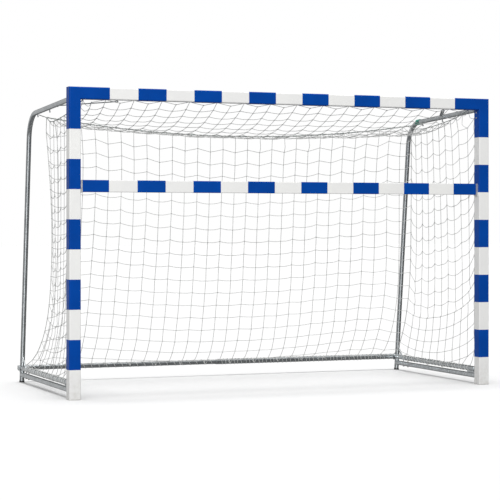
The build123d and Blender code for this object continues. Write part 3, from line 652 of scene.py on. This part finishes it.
def settle(points, fixed, pairs, rest, steps):
    """Hangs the twine under gravity: each link pulls, and pushes back only a little."""
    first, second = pairs[:, 0], pairs[:, 1]
    total = len(points)
    free = (~fixed).astype(float)
    share = free[first] + free[second]
    share[share == 0] = 1.0
    count = np.bincount(first, minlength=total) + np.bincount(second, minlength=total)
    ease = (1.7 / np.maximum(count, 1))[:, None] * free[:, None]
    pull = np.array([0.0, 0.0, -9.81]) * 0.0008**2 * free[:, None]
    last = points.copy()
    for _ in range(steps):
        speed = (points - last) * 0.992
        last = points.copy()
        points = points + speed * free[:, None] + pull
        for _ in range(2):
            gap = points[second] - points[first]
            length = np.linalg.norm(gap, axis=1) + 1e-9
            stretch = length - rest
            stretch = np.where(stretch > 0, stretch, stretch * 0.06)
            push = gap * (stretch / length / share)[:, None]
            move = np.empty_like(points)
            for axis in range(3):
                move[:, axis] = (np.bincount(first, push[:, axis], total)
                                 - np.bincount(second, push[:, axis], total))
            points = points + move * ease
        points[:, 2] = np.maximum(points[:, 2], 0.006)
    return points


net = settle(np.array(particles, float), np.array(held), np.array(links), np.array(rests),
             8000)

net_twine, net_rope = FINISHES["net_twine"], FINISHES["net_rope"]
soft = []
for name, chains in strands.items():
    lines = smooth_lines(net[np.array(chains)], 6)
    used = np.unique(np.array(chains)[:, [0, 3]])
    parts = [tubes(lines, TWINE, 6), knots(net[used], KNOT)]
    soft.append(mesh_piece(name, *joined(parts), net_twine, "net_twine"))
    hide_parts(NET_PARTS[name])

# ---------------------------------------------------------------- ropes along the net's edges
span = np.linspace(-SIDE_X, SIDE_X, 90)
rope_path = np.stack([span, np.full(len(span), ROPE_Y), rope_height(span)], axis=1)
rear_rope = mesh_piece("net_rear_rope_laid", *laid_rope(rope_path, ROPE_R), net_rope, "net_rope")
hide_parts("net_rear_rope")
lacing_steps = np.linspace(0, 1, 40 * LACING_TURNS)
lacing_turn = lacing_steps * 2 * math.pi * LACING_TURNS
lacing_x = -SIDE_X + 2 * SIDE_X * lacing_steps
lacing_r = ROPE_R + 0.002
lacing = np.stack([lacing_x, ROPE_Y + np.cos(lacing_turn) * lacing_r,
                   rope_height(lacing_x) + np.sin(lacing_turn) * lacing_r], axis=1)
lacing_piece = mesh_piece("net_rear_lacing", *tubes([lacing], LACING_R, 5), net_twine, "net_twine")
soft += [rear_rope, lacing_piece]

for side, label in ((-1, "left"), (1, "right")):
    edge = 0 if side < 0 else columns - 1
    top = smooth_lines(net[main[edge, :TOP_ROWS + 1]][None], 60)[0]
    back = smooth_lines(net[main[edge, TOP_ROWS:]][None], 110)[0]
    side_rope_mesh = laid_rope(top, SIDE_ROPE_R, 0.022)
    soft.append(mesh_piece(f"{label}_net_side_rope", *side_rope_mesh, net_rope, "net_rope"))
    cord_mesh = tubes([back], CORNER_CORD_R, 6)
    soft.append(mesh_piece(f"{label}_net_corner_cord", *cord_mesh, net_twine, "net_twine"))
    low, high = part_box(f"{label}_net_tie")
    near = np.array([side * SIDE_X, ROPE_Y, ROPE_BOX[1].z - ROPE_R])
    far = np.array([high.x if side > 0 else low.x, low.y, high.z])
    tie_line = np.stack([near + (far - near) * t for t in np.linspace(0, 1, 12)])
    tie_mesh = laid_rope(tie_line, TIE_R, 0.02)
    tie_piece = mesh_piece(f"{label}_net_tie_cord", *tie_mesh, net_rope, "net_rope")
    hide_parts(f"{label}_net_tie")
    soft.append(tie_piece)

for piece in soft:
    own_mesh(piece)

# ---------------------------------------------------------------- lashings round the tubes
def lashing(name, start, end, radius, pitch, wobble, body, wire=TWINE, material=net_twine,
            slot="net_twine"):
    """Twine wound round a tube that moves with a body."""
    mesh_piece(name, *helix(start, end, radius, pitch, wire, wobble), material, slot, body)


thin_low, thin_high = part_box("rear_tube_thin")
thin_r = (thin_high.z - thin_low.z) / 2
lashing("rear_tube_lashing_right", (0.03, TUBE_Y, TUBE_Z), (TUBE_BOX[1].x - 0.05, TUBE_Y, TUBE_Z),
        TUBE_R, 0.034, 0.004, "rear_tube")
lashing("rear_tube_lashing_left", (thin_low.x + 0.18, TUBE_Y, TUBE_Z), (-0.03, TUBE_Y, TUBE_Z),
        thin_r, 0.06, 0.001, "rear_tube_plug")
for side, label in ((-1, "left"), (1, "right")):
    rail_start = (side * RAIL_X, RAIL_BOX[0].y + 0.07, RAIL_Z)
    rail_end = (side * RAIL_X, RAIL_BOX[1].y - 0.13, RAIL_Z)
    lashing(f"{label}_rail_lashing", rail_start, rail_end, RAIL_R, 0.05, 0.006, f"{label}_bracket")

arm_low, arm_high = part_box("right_bracket_tube")
arm_middle_z = arm_high.z - RAIL_R - ARM_TILT * (ROPE_Y - arm_low.y)
arm_middle = np.array([RAIL_X, ROPE_Y, arm_middle_z])
arm_step = np.array([0.0, 0.028, -0.028 * ARM_TILT])
lashing("right_arm_green_cord", arm_middle - arm_step, arm_middle + arm_step, RAIL_R, 0.009, 0.001,
        "right_bracket", 0.0026, green_cord, "net_rope")

# ---------------------------------------------------------------- floor, light, camera
bpy.ops.mesh.primitive_plane_add(size=160)
floor = bpy.context.object
floor.name = "floor"
floor.visible_glossy = False                     # the tubes mirror the studio panels, not the floor
floor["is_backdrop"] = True
ground = Finish("studio_floor", Roughness=0.9)
ground.shader.inputs["Specular IOR Level"].default_value = 0.0
path = ground.add("ShaderNodeLightPath")
FLOOR_LIT, FLOOR_SEEN = (0.36, 0.36, 0.36, 1), (0.93, 0.93, 0.93, 1)
ground.color(ground.blend_color(path.outputs["Is Camera Ray"], FLOOR_LIT, FLOOR_SEEN))
floor.data.materials.append(ground.material)

HEADING = math.radians(21.639)                   # the camera's heading, from +Y towards +X
LOOK = Vector((math.sin(HEADING), math.cos(HEADING), 0.0))

world = bpy.data.worlds.new("studio")
bpy.context.scene.world = world
world.use_nodes = True
sky = world.node_tree
ray = sky.nodes.new("ShaderNodeLightPath")
direction = sky.nodes.new("ShaderNodeTexCoord").outputs["Generated"]


def sky_part(axis, low, high):
    """How far a direction points along an axis, as 0 to 1 between two limits."""
    dot = sky.nodes.new("ShaderNodeVectorMath")
    dot.operation = "DOT_PRODUCT"
    sky.links.new(direction, dot.inputs[0])
    dot.inputs[1].default_value = axis
    limits = sky.nodes.new("ShaderNodeMapRange")
    for number, limit in zip((1, 2, 3, 4), (low, high, 0.0, 1.0)):
        limits.inputs[number].default_value = limit
    sky.links.new(dot.outputs["Value"], limits.inputs[0])
    return limits.outputs[0]


def sky_panels(stops):
    """Bright and dark studio panels from one side to the other."""
    node = sky.nodes.new("ShaderNodeValToRGB")
    ramp = node.color_ramp
    while len(ramp.elements) < len(stops):
        ramp.elements.new(0.5)
    for element, (position, level) in zip(ramp.elements, stops):
        element.position = position
        element.color = (level, level, level, 1)
    sky.links.new(sky_part((math.cos(HEADING), -math.sin(HEADING), 0), -1.0, 1.0), node.inputs[0])
    return node.outputs[0]


def sky_mix(factor, first, second):
    node = sky.nodes.new("ShaderNodeMix")
    node.data_type = "RGBA"
    sky.links.new(factor, node.inputs["Factor"])
    for socket, value in ((node.inputs[6], first), (node.inputs[7], second)):
        if isinstance(value, float):
            socket.default_value = (value, value, value, 1)
        else:
            sky.links.new(value, socket)
    return node.outputs[2]


before = sky_panels([(0.0, 0.40), (0.28, 0.14), (0.41, 1.9), (0.54, 1.9), (0.66, 0.12), (1.0, 0.20)])
behind = sky_panels([(0.0, 0.3), (0.06, 0.6), (0.28, 0.6), (0.38, 0.15), (1.0, 0.1)])
mirrored = sky_mix(sky_part(tuple(-LOOK), -0.06, 0.06), behind, before)
mirrored = sky_mix(sky_part((0, 0, 1), 0.6, 0.85), mirrored, 1.0)
mirrored = sky_mix(sky_part((0, 0, -1), 0.35, 0.60), mirrored, 0.22)
lit = sky_mix(ray.outputs["Is Glossy Ray"], 0.5, mirrored)
sky.links.new(sky_mix(ray.outputs["Is Camera Ray"], lit, 1.0), sky.nodes["Background"].inputs["Color"])


def softbox(name, place, target, size, power):
    """A large soft studio light aimed at a point."""
    light = bpy.data.lights.new(name, "AREA")
    light.shape = "RECTANGLE"
    light.size, light.size_y = size
    light.energy = power
    box = bpy.data.objects.new(name, light)
    bpy.context.scene.collection.objects.link(box)
    box.location = place
    box.rotation_euler = (Vector(target) - Vector(place)).to_track_quat("-Z", "Y").to_euler()
    return box


overhead = bpy.data.lights.new("overhead", "SUN")
overhead.energy = 1.9
overhead.angle = math.radians(24)
overhead_box = bpy.data.objects.new("overhead", overhead)
bpy.context.scene.collection.objects.link(overhead_box)

key = softbox("front_left", (-6.0, -14.0, 7.0), (0, -0.5, 1.2), (4.0, 4.0), 1350)
lit_pieces = bpy.data.collections.new("lit_by_key")
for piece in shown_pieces():
    lit_pieces.objects.link(piece)
key.light_linking.receiver_collection = lit_pieces

camera_data = bpy.data.cameras.new("camera")
camera = bpy.data.objects.new("camera", camera_data)
bpy.context.scene.collection.objects.link(camera)
camera.location = (-4.717, FRONT - 11.150, 1.165)
camera.rotation_euler = LOOK.to_track_quat("-Z", "Y").to_euler()
camera_data.sensor_width = 36.0
camera_data.lens = 125.33
camera_data.shift_y = -0.0509
camera_data.clip_end = 300.0
bpy.context.scene.camera = camera
bpy.context.scene.view_settings.view_transform = "Standard"
